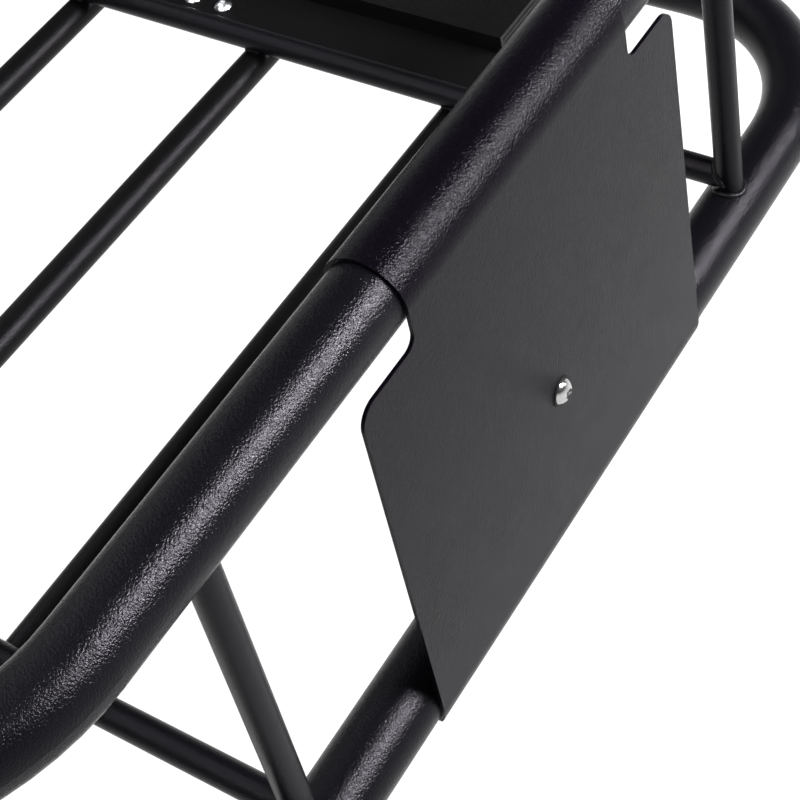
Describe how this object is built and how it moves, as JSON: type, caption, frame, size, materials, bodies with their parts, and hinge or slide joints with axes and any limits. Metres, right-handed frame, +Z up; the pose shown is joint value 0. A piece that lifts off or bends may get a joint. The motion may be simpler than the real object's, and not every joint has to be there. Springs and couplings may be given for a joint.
{
  "type": "folding luggage rack",
  "caption": "Steel tube luggage basket for a vehicle hitch, with low railed walls, a slatted floor, end plates and a support tube that folds up on its shank.",
  "frame": {"origin": "centre of the hitch-pin hole in the shank", "axes": "+X along the shank towards the vehicle, +Y along the length of the basket and along the hitch-pin hole, +Z up"},
  "size_m": [0.996, 1.547, 0.3072],
  "materials": {
    "coat_basket": "fine-grained satin black powder coat",
    "coat_hitch": "fine-grained satin black powder coat",
    "sheet_steel": "smooth matte dark grey powder coat",
    "zinc_steel": "bright zinc plate",
    "stainless": "polished stainless steel",
    "plastic": "moulded black plastic"
  },
  "bodies": {
    "hitch_frame": {"shank": "coat_hitch", "shank_end_cap": "plastic", "hinge_cheek_a": "coat_hitch", "hinge_cheek_b": "coat_hitch", "stop_plate": "coat_hitch", "pivot_bolt": "zinc_steel", "pivot_washers": "zinc_steel", "pivot_nut": "zinc_steel"},
    "basket": {"top_rail_a": "coat_basket", "top_rail_b": "coat_basket", "bottom_rail_a": "coat_basket", "bottom_rail_b": "coat_basket", "end_posts_a": "coat_basket", "end_posts_b": "coat_basket", "side_posts_a": "coat_basket", "side_posts_b": "coat_basket", "rod_left_a": "coat_basket", "rod_left_b": "coat_basket", "rod_right_a": "coat_basket", "rod_right_b": "coat_basket", "slats_a": "coat_basket", "slats_b": "coat_basket", "deck_panel_a": "sheet_steel", "deck_panel_b": "sheet_steel", "deck_screws": "zinc_steel", "end_plate_a": "sheet_steel", "end_plate_b": "sheet_steel", "plate_screws": "stainless", "plate_spacers": "zinc_steel", "plate_inserts": "zinc_steel", "rail_sleeves_top": "zinc_steel", "rail_sleeves_bottom": "zinc_steel", "rail_bolts": "zinc_steel", "rail_nuts": "zinc_steel", "saddle_plate_left": "coat_hitch", "saddle_plate_right": "coat_hitch", "saddle_bolts": "zinc_steel", "saddle_nuts": "zinc_steel", "support_tube": "coat_hitch", "support_end_cap": "plastic", "pivot_sleeve": "zinc_steel"},
    "lock_pin": {"lock_pin": "zinc_steel"},
    "pin_ring": {"lock_pin_ring": "zinc_steel"}
  },
  "joints": [
    {"name": "fold", "type": "hinge", "parent": "hitch_frame", "child": "basket", "pos_m": [-0.27, 0, 0], "axis": [0, 1, 0], "range_deg": [0, 90]},
    {"name": "lock_pin_pull", "type": "slide", "parent": "hitch_frame", "child": "lock_pin", "axis": [0, -1, 0], "range_m": [0, 0.085]},
    {"name": "ring_swing", "type": "hinge", "parent": "lock_pin", "child": "pin_ring", "pos_m": [-0.328, -0.0539, -0.039], "axis": [1, 0, 0], "range_deg": [-150, 10]}
  ]
}
